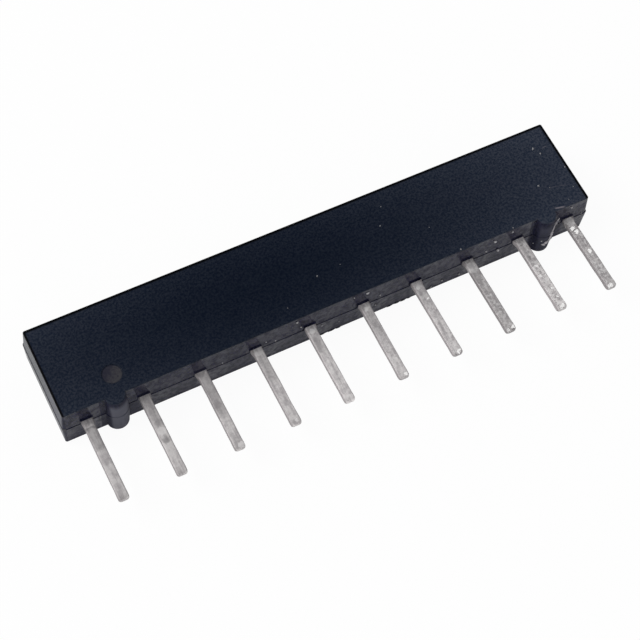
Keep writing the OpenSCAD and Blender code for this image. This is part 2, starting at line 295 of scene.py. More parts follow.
class EpoxyLook(bpy.types.PropertyGroup):
    """Finish of the moulded body."""

    tone: colour("Epoxy", "Colour of the moulded epoxy", (0.0082, 0.0116, 0.0198))
    shade: colour("Dark epoxy", "Colour in the dark specks of the grain", (0.0022, 0.0046, 0.0122))
    # Painted sheen, partly handling wear: the front face is painted paler towards its ends and long edges,
    # standing in for the lamp's reflection.
    painted_sheen: colour("Bloom", "Colour of the haze near the ends of the face", (0.0385, 0.0445, 0.0615))
    painted_sheen_dark: colour("Dark bloom", "Colour of the haze between its specks", (0.0126, 0.0188, 0.0343))
    sheen_middle: length("Bloom middle", "Place along the body where the face is clearest", -2.4)
    sheen_reach: length("Bloom reach", "From the clearest place to full haze", 15.0)
    sheen_across: amount("Bloom across", "How fast the haze grows towards the long edges", 0.47)
    sheen_patches: amount("Bloom patches", "Unevenness of the haze", 0.16)
    side_tone: colour("Sides", "Colour of the moulded sides", (0.0160, 0.0168, 0.0410))
    side_shade: colour("Dark sides", "Colour in the dark specks of the sides", (0.0040, 0.0048, 0.0130))
    side_bloom: colour("Side bloom", "Colour of the pale patches on the sides", (0.030, 0.029, 0.047))
    side_milk: amount("Side milk", "Strength of the pale patches on the sides", 0.45)
    side_gloss: amount("Side gloss", "Weight of the clear skin on the moulded sides", 0.60)
    calm_gloss: amount("Calm gloss", "Share of that gloss on the far side and the ends", 0.8)
    corner_gloss: amount("Corner gloss", "Share of that gloss at the left corner", 0.7)
    lee_loss: amount("Lee", "Share of the gloss lost to the left of the standoffs", 0.8)
    wake_loss: amount("Wake", "Share of the gloss lost to the right of the standoffs", 0.55)
    back_gain: amount("Back gain", "Gloss that the back half of the lead side gains", 0.35)
    sink_loss: amount("Sink", "Share of the gloss lost before the next lead", 0.34)
    back_sink: amount("Back sink", "What the back half loses there besides", 0.36)
    rib_tone: colour("Standoffs", "Colour of the rubbed standoffs", (0.090, 0.092, 0.116))
    rib_rub: amount("Rubbing", "How far the less rubbed standoff is rubbed", 0.3)
    rib_rough: amount("Standoff roughness", "What the standoffs add to the roughness", 0.25)
    # Painted shade: a dark rim painted along the left, right and far edges of the front face.
    painted_rim_shade: colour("Rim", "Colour of the rim of the front face", (0.0006, 0.0008, 0.0014))
    painted_rim_width: length("Rim width", "Width of the dark rim of the front face", 0.15)
    # Painted light: the ledge at the left end is painted pale so that its dark line of shade does not
    # show.
    ledge_painted_light: colour("Ledge", "Colour of the parting ledge at the left end", (0.075, 0.075, 0.080))
    scratch: colour("Scratch", "Colour of fine scratches", (0.130, 0.122, 0.140))
    face_rough: amount("Face roughness", "Roughness of the front face", 0.26)
    side_rough: amount("Side roughness", "Roughness of the moulded sides", 0.16)
    grain_depth: length("Grain depth", "Height of the fine moulded grain", 0.0014)
    edge_blend: length("Edge blend", "Radius to which the eye sees the edges rounded", 0.015)
    dot_tone: colour("Pin-one dot", "Colour of the floor of the pin-one dot", (0.021, 0.021, 0.032))
    # The floor of the dot is painted paler towards its lower right, at higher x and lower y.
    dot_lower_right: colour("Scraped dot", "Colour where the dot's floor is scraped", (0.045, 0.044, 0.049))


class LeadLook(bpy.types.PropertyGroup):
    """Shape and finish of the solder-dipped leads."""

    tin: colour("Tin", "Colour of the dull solder coat", (0.86, 0.825, 0.815))
    tin_dark: colour("Dark tin", "Colour of the coat in its hollows", (0.51, 0.48, 0.485))
    tin_edge_shade: colour("Thin tin", "Colour of the thin coat along the edges", (0.34, 0.315, 0.32))
    # Painted shade: the coat is painted darker along the long edges of the leads.
    tin_pit: colour("Pitted tin", "Colour of the pits in a gritty coat", (0.27, 0.255, 0.26))
    tin_glint: colour("Tin glints", "Colour of the bright grains in a gritty coat", (0.97, 0.95, 0.94))
    edge_radius: length("Edge radius", "Rounding of the long edges", 0.05)
    tip_radius: length("Tip radius", "Rounding of the corners at the tip", 0.11)
    nose: length("Nose", "Length over which the tip gets thinner", 0.24)
    nose_loss: amount("Nose loss", "Share of the thickness that the end of the nose loses", 0.55)
    bead: length("Bead", "Height of the solder bead near the tip", 0.014)
    bead_spread: amount("Bead spread", "Length of the bead for that of the nose", 0.8)
    bead_side: amount("Bead side", "Share of the bead's height on the narrow sides", 0.3)
    wave: length("Wave", "Unevenness of the solder coat", 0.008)
    wave_start: length("Wave start", "Length below the neck over which the waves set in", 0.3)
    pitch: length("Ring pitch", "Length of lead between two rings of its mesh", 0.05)


class WearLook(bpy.types.PropertyGroup):
    """Dust, crumbs and flash on the body."""

    dust: colour("Dust", "Colour of the dust flecks on the lead side", (0.50, 0.49, 0.50))
    face_dust: colour("Face dust", "Colour of the dust flecks on the front face", (0.22, 0.22, 0.23))
    crumb: colour("Crumbs", "Colour of the crumbs along the back edge", (0.005, 0.005, 0.007))
    flash: colour("Flash", "Colour of the torn flash", (0.50, 0.475, 0.505))
    fleck_rise: amount("Fleck rise", "Height for its width of a fleck on the front face", 0.22)
    crumb_rise: amount("Crumb rise", "Height for its width of a crumb on the back edge", 0.26)
    lump_rise: amount("Lump rise", "Height for its width of a fleck on the lead side", 0.6)
    sliver_width: length("Sliver width", "Width of the torn flash", 0.15)
    sliver_rise: length("Sliver rise", "Height of the torn flash over the body", 0.034)


class InsertLook(bpy.types.PropertyGroup):
    """Finish of the plate and its printed layers."""

    alumina: colour("Alumina", "Colour of the ceramic plate", (0.72, 0.70, 0.66))
    conductor: colour("Conductor", "Colour of the silver conductor film", (0.62, 0.61, 0.58))
    resistor: colour("Resistor", "Colour of the fired resistor film", (0.018, 0.017, 0.020))
    glaze: colour("Overglaze", "Colour of the protective glass", (0.030, 0.110, 0.075))
    solder: colour("Solder", "Colour of the solder at the pads", (0.58, 0.57, 0.57))


class StudioLook(bpy.types.PropertyGroup):
    """Floor, light and camera."""

    floor_tone: colour("Floor", "Colour of the floor", (0.88, 0.88, 0.88))
    floor_shade: amount("Floor shade", "Brightness of the floor's soft patches", 0.97)
    floor_side: length("Floor side", "Length of the floor's sides", 4000.0)
    floor_gap: length("Floor gap", "From the underside of the part to the floor", 0.01)
    shadow_share: amount("Shadow share", "How much of the object's shadow the white floor keeps", 0.05)
    mirror_share: amount("Mirrored shadow", "How much of that shadow shows in glossy surfaces", 0.9)
    horizon: colour("Horizon", "Colour of the surroundings near the floor", (1.0, 1.0, 1.0))
    zenith: colour("Zenith", "Colour of the surroundings overhead", (0.035, 0.038, 0.045))
    dusk_low: amount("Dusk low", "Height from which the surroundings get darker", 0.45)
    dusk_high: amount("Dusk high", "Height from which the surroundings are dark", 0.88)
    key_power: amount("Key power", "Power of the soft lamp, in watts", 1.3, top=10.0)
    key_side: length("Key side", "Side of the soft lamp", 260.0)
    key_azimuth: angle("Key azimuth", "Side from which the soft lamp shines", -115.0)
    key_elevation: angle("Key elevation", "Height of the soft lamp over the floor", 48.0)
    key_distance: length("Key distance", "From the object to the soft lamp", 420.0)
    view_azimuth: angle("View azimuth", "Side from which the camera looks", -32.545)
    view_elevation: angle("View elevation", "Height from which the camera looks", 62.439)
    view_roll: angle("View roll", "Turn of the camera about its own axis", 6.762)
    view_distance: length("View distance", "From the camera to the point it looks at", 69.789)
    view_aim: FloatVectorProperty(
        name="View aim", description="Point that the camera looks at", subtype="TRANSLATION", size=3,
        default=(-0.777 * MM, -2.175 * MM, 1.530 * MM),
    )
    lens: FloatProperty(
        name="Lens", description="Focal length of the camera", subtype="DISTANCE_CAMERA", default=92.81
    )
    near_clip: length("Near clip", "Distance from which the camera sees", 0.5)
    far_clip: length("Far clip", "Distance up to which the camera sees", 10000.0)


class NetworkLook(bpy.types.PropertyGroup):
    """All sizes and colours of the dressed part."""

    epoxy: PointerProperty(type=EpoxyLook, name="Epoxy", description="The moulded body")
    leads: PointerProperty(type=LeadLook, name="Leads", description="The solder-dipped leads")
    wear: PointerProperty(type=WearLook, name="Wear", description="Dust, crumbs and flash on the body")
    insert: PointerProperty(type=InsertLook, name="Insert", description="The plate and its layers")
    studio: PointerProperty(type=StudioLook, name="Studio", description="Floor, light and camera")


class Reading:
    """A value that varies over a surface. Sums of it with others add Math nodes to its recipe."""

    def __init__(self, recipe, socket):
        self.recipe = recipe
        self.socket = socket

    def math(self, operation, first, second):
        return self.recipe.node("ShaderNodeMath", {"operation": operation}, {0: first, 1: second})

    def __add__(self, other):
        return self.math("ADD", self, other)

    def __radd__(self, other):
        return self.math("ADD", other, self)

    def __sub__(self, other):
        return self.math("SUBTRACT", self, other)

    def __rsub__(self, other):
        return self.math("SUBTRACT", other, self)

    def __mul__(self, other):
        return self.math("MULTIPLY", self, other)

    def __rmul__(self, other):
        return self.math("MULTIPLY", other, self)

    def __lt__(self, other):
        return self.math("LESS_THAN", self, other)


class Recipe:
    """The nodes of one finish."""

    def __init__(self, tree):
        self.tree = tree

    @classmethod
    def finish(cls, name, constants):
        """A material of that name, with the settings that are the same all over it."""
        material = bpy.data.materials.new(name)
        material.use_nodes = True
        recipe = cls(material.node_tree)
        recipe.material = material
        recipe.shader = material.node_tree.nodes["Principled BSDF"]
        for socket, value in constants.items():
            recipe.shader.inputs[socket].default_value = value
        return recipe

    def node(self, kind, settings=None, sockets=None, out=0):
        """Adds a node of that kind: its settings first, then the values or links of its sockets."""
        made = self.tree.nodes.new(kind)
        for name, value in (settings or {}).items():
            setattr(made, name, value)
        for key, value in (sockets or {}).items():
            if isinstance(value, Reading):
                self.tree.links.new(value.socket, made.inputs[key])
            else:
                made.inputs[key].default_value = value
        return Reading(self, made.outputs[out])

    def feed(self, **readings):
        """Links readings to the shader, with Base_Color for the socket Base Color."""
        for name, reading in readings.items():
            self.tree.links.new(reading.socket, self.shader.inputs[name.replace("_", " ")])

    def place(self):
        """The point of the part's frame, in millimetres."""
        metres = self.node("ShaderNodeTexCoord", out="Object")
        return self.node(
            "ShaderNodeVectorMath", {"operation": "SCALE"}, {"Vector": metres, "Scale": 1 / MM}
        )

    def axes(self, vector):
        """The three axes of a vector."""
        split = self.node("ShaderNodeSeparateXYZ", sockets={"Vector": vector}).socket.node
        return [Reading(self, axis) for axis in split.outputs]

    def stretched(self, vector, x, y, z):
        """The vector with each axis scaled by itself."""
        return self.node("ShaderNodeVectorMath", {"operation": "MULTIPLY"}, {0: vector, 1: (x, y, z)})

    def cloud(self, vector, scale, detail=3.0, rough=0.55):
        """Soft patches, about 1 / scale across."""
        return self.node(
            "ShaderNodeTexNoise", {},
            {"Vector": vector, "Scale": scale, "Detail": detail, "Roughness": rough},
        )

    def wandering(self, vector, scale, reach):
        """The vector moved about by up to that reach, in patches about 1 / scale across."""
        drift = self.node(
            "ShaderNodeTexNoise", {}, {"Vector": vector, "Scale": scale, "Detail": 3.0}, out="Color"
        )
        step = self.node(
            "ShaderNodeVectorMath", {"operation": "MULTIPLY_ADD"},
            {0: drift, 1: (4.0 * reach,) * 3, 2: (-2.0 * reach,) * 3},
        )
        return self.node("ShaderNodeVectorMath", {"operation": "ADD"}, {0: vector, 1: step})

    def rise(self, value, low, high):
        """0 below low and 1 above high, with a smooth step between."""
        return self.node(
            "ShaderNodeMapRange", {"interpolation_type": "SMOOTHSTEP"},
            {"Value": value, "From Min": low, "From Max": high},
        )

    def fade(self, value, steps, about=0.0):
        """0 at the first step and 1 at the second, both counted from a level."""
        return self.rise(value, about + steps[0], about + steps[1])

    def window(self, value, steps, about=0.0):
        """1 between the middle two of four steps and 0 outside the other two, counted from a level."""
        return self.fade(value, steps[:2], about) * self.fade(value, (steps[3], steps[2]), about)

    def blend(self, share, first, second):
        """From the first colour to the second by that share, which the node keeps between 0 and 1."""
        sockets = {0: share}
        for key, tint in ((6, first), (7, second)):
            sockets[key] = tint if isinstance(tint, Reading) else (*tint, 1.0)
        return self.node("ShaderNodeMix", {"data_type": "RGBA"}, sockets, out=2)

    def bumps(self, height, depth, normal=None):
        """A surface whose height varies by that depth."""
        sockets = {"Height": height, "Distance": depth, "Strength": 1.0}
        if normal:
            sockets["Normal"] = normal
        return self.node("ShaderNodeBump", {}, sockets)


def looks():
    """The settings of the part in this scene."""
    return bpy.context.scene.resistor_network


def spot(recipe, across, along, middle, reach, core):
    """1 in the core of a round spot of that middle and reach, falling to 0 at its edge."""
    dx = across - middle[0]
    dy = along - middle[1]
    return recipe.rise(dx * dx + dy * dy, reach * reach, core * reach * reach)


def stroke(recipe, across, along, start, end, width):
    """1 along a straight scratch of that width."""
    reach = math.dist(start, end)
    ux = (end[0] - start[0]) / reach
    uy = (end[1] - start[1]) / reach
    dx = across - start[0]
    dy = along - start[1]
    run = dx * ux + dy * uy
    aside = dy * ux - dx * uy
    inside = recipe.window(run, (0.0, 0.2 * reach, 0.7 * reach, reach))
    return inside * recipe.rise(aside * aside, width * width, 0.1 * width * width)


def pin_one_dot():
    """Middle and radius of the pin-one dot, from the edge of its floor."""
    floor = [p for p in BODY_POINTS if DOT_BAND[0] < BODY_HIGH.z - p.z < DOT_BAND[1]]
    rim = [p for p in floor if abs(p.y) < DOT_SPAN * BODY_HIGH.y]
    low, high = (Vector((pick(p.x for p in rim), pick(p.y for p in rim))) for pick in (min, max))
    return 0.5 * (low + high) / MM, 0.5 * (high.x - low.x) / MM


def face_edges():
    """Left, right and far edges of the front face, in millimetres."""
    face = [p / MM for p in BODY_POINTS if p.z > BODY_HIGH.z - TOUCH]
    return min(p.x for p in face), max(p.x for p in face), max(p.y for p in face)


def parting_level():
    """Height of the ledge where the halves of the mould meet, in millimetres."""
    return max(p.z for p in BODY_POINTS if p.x < BODY_LOW.x + TOUCH) / MM


def standoff_sides():
    """Left sides and right sides of the two standoffs along the row, in millimetres."""
    ribs = [p.x / MM for p in BODY_POINTS if p.y < RIB_FOOT * MM]
    near = [x for x in ribs if x < 0.0]
    far = [x for x in ribs if x > 0.0]
    return (min(near), min(far)), (max(near), max(far))


def lead_row():
    """Middle of the first lead and the pitch of the row, in millimetres."""
    boxes = (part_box("lead_1"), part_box("lead_2"))
    first, second = (0.5 * (low.x + high.x) / MM for low, high in boxes)
    return first, second - first


def by_standoffs(recipe, x, y, steps, levels):
    """1 in two strips of the lead side, with their steps counted from the sides of the standoffs."""
    near, far = (recipe.window(x, steps, level) for level in levels)
    return (near + far) * (y < 0.0)


def face_skin(recipe, place, specks, patches):
    """Colour of the front face: a painted sheen towards its ends, partly handling wear, scratches, the
    pin-one dot and a dark rim of painted shade.
    """
    look = looks().epoxy
    x, y, _ = recipe.axes(place)
    # Painted sheen, partly handling wear: the face gets paler towards its ends and long edges.
    along = (x - look.sheen_middle / MM) * (MM / look.sheen_reach)
    across = y * (look.sheen_across * MM / BODY_HIGH.y)
    sheen = along * along + across * across + look.sheen_patches * (patches - 0.5)
    clear = recipe.blend(specks, look.shade, look.tone)
    skin = recipe.blend(sheen, clear, recipe.blend(specks, look.painted_sheen_dark, look.painted_sheen))
    for start, end, width, share in FACE_SCRATCHES:
        scratch = stroke(recipe, x, y, start, end, width)
        skin = recipe.blend(scratch * share, skin, look.scratch)

    middle, radius = pin_one_dot()
    in_dot = spot(recipe, x, y, middle, radius, 0.7)
    # The floor of the dot gets paler towards its lower right, at higher x and lower y.
    slope = (x - middle.x) - (y - middle.y)
    lower_right = recipe.rise(slope + 3.0 * recipe.cloud(place, 9.0, 6.0, 0.75), 0.9, 2.1)
    skin = recipe.blend(in_dot, skin, recipe.blend(lower_right, look.dot_tone, look.dot_lower_right))

    # Painted shade: a dark rim painted along the left, right and far edges of the face.
    left_edge, right_edge, far_edge = face_edges()
    rim, rim_left = ([share * look.painted_rim_width / MM for share in shares] for shares in (RIM_SHADE, RIM_SHADE_LEFT))
    inside = recipe.fade(x, rim_left, left_edge) * recipe.fade(x, rim, right_edge)
    return recipe.blend(inside * recipe.fade(y, rim, far_edge), look.painted_rim_shade, skin)


def side_skin(recipe, place, specks):
    """Colour of the sides: pale patches, rubbed standoffs with painted shade on their left flanks, and
    painted light on the ledge at the left end.
    """
    look = looks().epoxy
    x, y, z = recipe.axes(place)
    lead_side = recipe.fade(y, LEAD_SIDE)
    speckled = recipe.blend(specks, look.side_shade, look.side_tone)
    skin = recipe.blend(lead_side, look.tone, speckled)
    milky = recipe.rise(recipe.cloud(place, 2.0, 4.0, 0.6), 0.45, 0.65) * lead_side
    skin = recipe.blend(look.side_milk * milky, skin, look.side_bloom)
    rubbed = 1.0 - recipe.fade(y, FLAT_FADE, RIB_FOOT)
    rubbed = rubbed * (look.rib_rub + (1.0 - look.rib_rub) * recipe.fade(x, RUB_ALONG))
    # Painted shade: the paler colour of the rubbed standoffs is left off their left flanks.
    lee_shade = by_standoffs(recipe, x, y, LEE_SHADE, standoff_sides()[0])
    rubbed = rubbed * recipe.fade(z, RUB_FADE, FRONT) * (1.0 - lee_shade)
    skin = recipe.blend(rubbed, skin, look.rib_tone)
    # Painted light on the ledge at the left end, hiding its dark line of shade.
    ledge = recipe.window(z, LEDGE, parting_level()) * (1.0 - recipe.fade(x, END_FADE, LEFT_END))
    return recipe.blend(ledge, skin, look.ledge_painted_light)


def side_gloss(recipe, place):
    """Weight of the clear skin on the sides, blotchy and duller beside the standoffs and leads."""
    look = looks().epoxy
    x, y, z = recipe.axes(place)
    corner = recipe.fade(x, CORNER_FADE, LEFT_END)
    gloss = recipe.fade(z, BACK_FADE) * recipe.fade(x, END_FADE, LEFT_END)
    gloss = gloss * (look.corner_gloss + (1.0 - look.corner_gloss) * corner)
    gloss = gloss * recipe.fade(y, FLAT_FADE, RIB_FOOT)
    blotches = recipe.rise(recipe.cloud(place, 4.0, 4.0, 0.65), 0.35, 0.65)
    blotchy = look.calm_gloss + recipe.fade(y, LEAD_SIDE) * (blotches - 0.3)
    gloss = gloss * blotchy * look.side_gloss
    left_sides, right_sides = standoff_sides()
    parting = parting_level()
    lee_shade = by_standoffs(recipe, x, y, LEE_SHADE, left_sides)
    wake = by_standoffs(recipe, x, y, WAKE, right_sides) * recipe.fade(z, WAKE_FADE, parting)
    gloss = gloss * (1.0 - look.lee_loss * lee_shade) * (1.0 - look.wake_loss * wake)
    first, pitch = lead_row()
    run = recipe.node("ShaderNodeMath", {"operation": "FRACT"}, {0: (x - first) * (1.0 / pitch)})
    back = recipe.fade(z, HALVES, parting)
    loss = recipe.window(run, SINK) * (look.sink_loss + look.back_sink * back)
    row = recipe.fade(y, ROW_FADE, RIB_FOOT)
    return gloss * (1.0 + row * (look.back_gain * back - loss))


def epoxy_finish():
    """Blue-black moulded epoxy with a matt front face, painted paler towards its ends as a sheen, and
    smoother sides.
    """
    look = looks().epoxy
    recipe = Recipe.finish(
        "moulded_epoxy",
        {"IOR": 1.5, "Specular IOR Level": 0.07, "Coat IOR": 1.5, "Coat Roughness": 0.17},
    )
    place = recipe.place()
    _, y, z = recipe.axes(place)
    face = recipe.fade(z, FACE_FADE, FRONT)
    grain = recipe.cloud(place, 10.0, 6.0, 0.75)
    patches = recipe.cloud(place, 1.3, 5.0, 0.6)
    specks = recipe.rise(grain, 0.41, 0.59)
    sides = side_skin(recipe, place, specks)
    skin = recipe.blend(recipe.fade(z, TINT_FADE, FRONT), sides, face_skin(recipe, place, specks, patches))
    rough = look.side_rough + (look.face_rough - look.side_rough) * face
    rough = rough + look.rib_rough * (1.0 - recipe.fade(y, FLAT_FADE, RIB_FOOT))
    edges = recipe.node("ShaderNodeBevel", {"samples": 6}, {"Radius": look.edge_blend})
    recipe.feed(
        Base_Color=skin,
        Roughness=rough + 0.08 * patches + 0.03 * grain,
        Coat_Weight=(1.0 - face) * side_gloss(recipe, place),
        Normal=recipe.bumps(grain, look.grain_depth, edges),
    )
    return recipe.material


def tin_finish(number, coat):
    """Dull solder coat of one lead, with its own bands and marks."""
    look = looks().leads
    recipe = Recipe.finish(f"tinned_lead_coat_{number}", {"IOR": 1.5})
    place = recipe.place()
    size = lead_sizes(number)
    foot = size.low.y / MM
    head_shift, tip_shift = coat.lean
    lean = (head_shift - tip_shift) / (size.strip_head / MM - foot)

    def beside(vector):
        """Distance off the middle of the lead, and distance from its tip."""
        x, y, _ = recipe.axes(vector)
        return x - lean * (y - foot) - (size.middle / MM + tip_shift), y - foot

    mottle = recipe.cloud(place, 3.0, 5.0, 0.62)
    speck = recipe.cloud(place, 9.0, 4.0, 0.65)
    glint = recipe.cloud(place, 7.0, 3.0, 0.6)
    drawn = recipe.cloud(recipe.stretched(place, 9.0, 0.7, 9.0), 1.0, 2.0)
    tints = (look.tin_dark, look.tin, look.tin_edge_shade)
    dark, pale, shadowed = ([coat.shade * channel for channel in tint] for tint in tints)
    skin = recipe.blend(recipe.rise(0.6 * mottle + 0.4 * drawn, 0.38, 0.62), dark, pale)
    skin = recipe.blend(recipe.rise(speck, 0.52, 0.61) * coat.grit, skin, look.tin_pit)
    skin = recipe.blend(recipe.rise(glint, 0.51, 0.62) * coat.grit, skin, look.tin_glint)
    aside, along = beside(place)
    edge = (size.strip / MM) ** 2
    # Painted shade along the long edges, which also makes them less metallic and rougher.
    shadowed_edge = recipe.fade(aside * aside + 0.02 * mottle, [share * edge for share in EDGE_SHADE])
    skin = recipe.blend(shadowed_edge, skin, shadowed)
    metal = 0.62 - 0.12 * speck - 0.3 * shadowed_edge
    rough = 0.52 - 0.2 * mottle + 0.15 * speck + 0.15 * shadowed_edge
    relief = 0.3 * mottle + coat.grit * speck
    drift_aside, drift_along = beside(recipe.wandering(place, 5.0, 0.07))
    # Painted shade: dark bands towards the roots, where lead 1 bends, and along the tips.
    for start, end, soft, share in coat.bands:
        band = recipe.window(drift_along, (start - soft, start + soft, end - soft, end + soft))
        skin = recipe.blend(band * share, skin, SOOT_AND_SHADE.colour)
    for across, from_tip, reach, tint, share in coat.marks:
        mark = spot(recipe, drift_aside, drift_along, (across, from_tip), reach, tint.core) * share
        skin = recipe.blend(mark, skin, tint.colour)
        metal = metal + tint.metal * mark
        # A painted glint also leans to the light and is smoother.
        if tint.facet:
            rough = rough - FACET_POLISH * mark
            fall = (aside - across) * FACET_FALL[0] + (along - from_tip) * FACET_FALL[1]
            relief = relief - mark * (relief + fall * (1.0 / COAT_RELIEF))
    recipe.feed(
        Base_Color=skin,
        Metallic=metal,
        Roughness=rough,
        Normal=recipe.bumps(relief, COAT_RELIEF * MM),
    )
    return recipe.material


def layer_finish(name, tint):
    """The finish of that name in the table of layers."""
    layer = LAYERS[name]
    recipe = Recipe.finish(name, {"Roughness": layer.rough, "Metallic": layer.metal})
    place = recipe.place()
    patches = recipe.cloud(place, layer.scale, 4.0)
    grain = recipe.cloud(place, 9.0 * layer.scale, 2.0)
    dark = [channel * (1.0 - layer.spread) for channel in tint]
    recipe.feed(
        Base_Color=recipe.blend(recipe.rise(0.6 * patches + 0.4 * grain, 0.35, 0.65), dark, tint),
        Normal=recipe.bumps(grain, layer.depth * MM),
    )
    return recipe.material


def dress(node, material):
    """Gives a node of the frame its finish."""
    node.data.materials.clear()
    node.data.materials.append(material)


def new_piece(name, mesh, material):
    """A smooth piece of the part that rides on its body."""
    piece = bpy.data.objects.new(name, mesh)
    bpy.context.scene.collection.objects.link(piece)
    mesh.materials.append(material)
    for face in mesh.polygons:
        face.use_smooth = True
    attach(piece, BODY)
    return piece


class LeadSizes(NamedTuple):
    """Box, half widths and levels of one lead."""

    low: Vector
    high: Vector
    middle: float  # its place along the row
    neck: float  # half width of the neck
    neck_foot: float  # level at which the neck ends
    strip: float  # half width of the long strip
    strip_head: float  # level at which the strip begins


def lead_sizes(number):
    """The sizes of one lead, read from its solid."""
    points = [vertex.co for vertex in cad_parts[f"lead_{number}"].data.vertices]
    low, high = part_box(f"lead_{number}")
    middle = 0.5 * (low.x + high.x)
    neck = 0.5 * (high.x - low.x)
    neck_foot = min(p.y for p in points if abs(abs(p.x - middle) - neck) < TOUCH)
    below = [p for p in points if p.y < neck_foot - TOUCH]
    strip = max(abs(p.x - middle) for p in below)
    strip_head = max(p.y for p in below if abs(abs(p.x - middle) - strip) < TOUCH)
    return LeadSizes(low, high, middle, neck, neck_foot, strip, strip_head)


def clamped(value):
    """The value, kept between 0 and 1."""
    return min(1.0, max(0.0, value))


def quarter(radius, depth):
    """How far a round of that radius draws an edge in, at that depth from the end."""
    if depth >= radius:
        return 0.0
    return radius - math.sqrt(radius * radius - (radius - depth) ** 2)


def lead_ring(half_width, half_thickness, radius, steps=5, across=9, through=3):
    """Points and outward directions round a section with rounded corners."""
    radius = min(radius, 0.96 * half_thickness, 0.96 * half_width)
    ring = []
    corners = ((1, 1, 0), (-1, 1, 90), (-1, -1, 180), (1, -1, 270))
    for index, (sx, sz, start) in enumerate(corners):
        centre = Vector((sx * (half_width - radius), sz * (half_thickness - radius)))
        for step in range(steps):
            turn = math.radians(start + 90.0 * step / (steps - 1))
            out = Vector((math.cos(turn), math.sin(turn)))
            ring.append((centre + radius * out, out))
        nx, nz, _ = corners[(index + 1) % 4]
        last, out = ring[-1]
        following = Vector((nx * (half_width - radius), nz * (half_thickness - radius))) + radius * out
        count = across if index % 2 == 0 else through
        for step in range(1, count):
            ring.append((last.lerp(following, step / count), out))
    return ring


def lead_levels(low, high, rounds=10):
    """Levels of the rings of a lead: close together round its nose, then evenly up to its head."""
    look = looks().leads
    turns = [0.5 * math.pi * k / rounds for k in range(rounds)]
    stretch = high - low - look.nose
    count = math.ceil(stretch / look.pitch)
    levels = [low + look.nose * (1.0 - math.cos(turn)) for turn in turns]
    return levels + [low + look.nose + stretch * k / count for k in range(count + 1)]


def lead_mesh(number, lean):
    """One lead: a neck out of the body, a shoulder, a long strip and a rounded, beaded tip."""
    look = looks().leads
    size = lead_sizes(number)
    half_thickness = 0.5 * (size.high.z - size.low.z)
    centre_z = 0.5 * (size.low.z + size.high.z)
    mesh = bmesh.new()
    rings = []
    for y in lead_levels(size.low.y, size.high.y):
        share = clamped((y - size.strip_head) / (size.neck_foot - size.strip_head))
        share = share * share * (3.0 - 2.0 * share)
        down = (size.strip_head - y) / (size.strip_head - size.low.y)
        aside = (lean[0] + (lean[1] - lean[0]) * down) * (1.0 - share) * MM
        depth = y - size.low.y
        bead = look.bead * math.exp(-(((depth - look.nose) / (look.bead_spread * look.nose)) ** 2))
        half_width = size.strip + (size.neck - size.strip) * share
        half_width += look.bead_side * bead - quarter(look.tip_radius, depth)
        thinned = look.nose_loss * quarter(look.nose, depth) / look.nose
        thickness = half_thickness * (1.0 - thinned) + bead
        wave = look.wave * clamped((size.neck_foot - y) / look.wave_start)
        ring = []
        for offset, out in lead_ring(half_width, thickness, look.edge_radius):
            at = Vector((size.middle + offset.x, WAVE_STRETCH * y, offset.y)) / MM
            swell = sum(part * noise.noise(rate * at) for rate, part in COAT_WAVES)
            point = offset + wave * swell * out
            ring.append(mesh.verts.new((size.middle + aside + point.x, y, centre_z + point.y)))
        rings.append(ring)
    close_rings(mesh, rings)
    return made_mesh(mesh, f"tinned_lead_{number}")


def close_rings(mesh, rings):
    """Faces from each ring to the next, and one over each end."""
    size = len(rings[0])
    for lower, upper in zip(rings, rings[1:]):
        for k in range(size):
            after = (k + 1) % size
            mesh.faces.new((lower[k], lower[after], upper[after], upper[k]))
    mesh.faces.new(list(reversed(rings[0])))
    mesh.faces.new(rings[-1])


def made_mesh(mesh, name):
    """A finished mesh, with its faces turned outward."""
    bmesh.ops.recalc_face_normals(mesh, faces=mesh.faces)
    data = bpy.data.meshes.new(name)
    mesh.to_mesh(data)
    mesh.free()
    return data


def body_surface():
    """The skin of the moulded body, for laying small things on it."""
    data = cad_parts["moulded_body"].data
    corners = [vertex.co for vertex in data.vertices]
    return BVHTree.FromPolygons(corners, [tuple(face.vertices) for face in data.polygons])


def landing(surface, start, way):
    """Where a line from start meets the body, and the direction that the skin faces there."""
    point, normal, _, _ = surface.ray_cast(start, way)
    if point is None:
        raise RuntimeError("a mark misses the body")
    return point, normal


def over_face(x, y, lean):
    """A start over the front face, the way to it, and how a fleck lies on it."""
    start = Vector((x, y, FRONT + 1.0)) * MM
    return start, Vector((0.0, 0.0, -1.0)), Vector((0.5, lean, 0.0))


def before_lead_side(x, z, lean=0.0):
    """A start before the lead side, the way to it, and how a fleck lies on it."""
    start = Vector((x, RIB_END - 1.0, z)) * MM
    return start, Vector((0.0, 1.0, 0.0)), Vector((1.0, 0.0, lean))


def lay_fleck(mesh, point, normal, along, width, length_ratio, rise, draw):
    """A low chip with an uneven outline, lying on the skin."""
    side = normal.cross(along).normalized()
    along = side.cross(normal)
    reach = [0.5 * width * draw.uniform(*FLECK_SPREAD) for _ in range(FLECK_CORNERS)]
    levels = [(1.0, -FLECK_SINK * width)]
    levels += [(scale, share * rise * width) for scale, share in FLECK_RINGS]
    rings = []
    for scale, height in levels:
        ring = []
        for k in range(FLECK_CORNERS):
            turn = math.tau * k / FLECK_CORNERS
            step = along * (length_ratio * math.cos(turn)) + side * math.sin(turn)
            ring.append(mesh.verts.new(point + scale * reach[k] * step + height * normal))
        rings.append(ring)
    close_rings(mesh, rings)


def flecks_mesh(name, surface, spots, approach, leans, rise, draw):
    """Chips at those spots, each lying a little askew."""
    mesh = bmesh.new()
    for first, second, width, ratio in spots:
        start, way, along = approach(first, second, draw.uniform(*leans))
        point, normal = landing(surface, start, way)
        lay_fleck(mesh, point, normal, along, width * MM, ratio, rise, draw)
    return made_mesh(mesh, name)


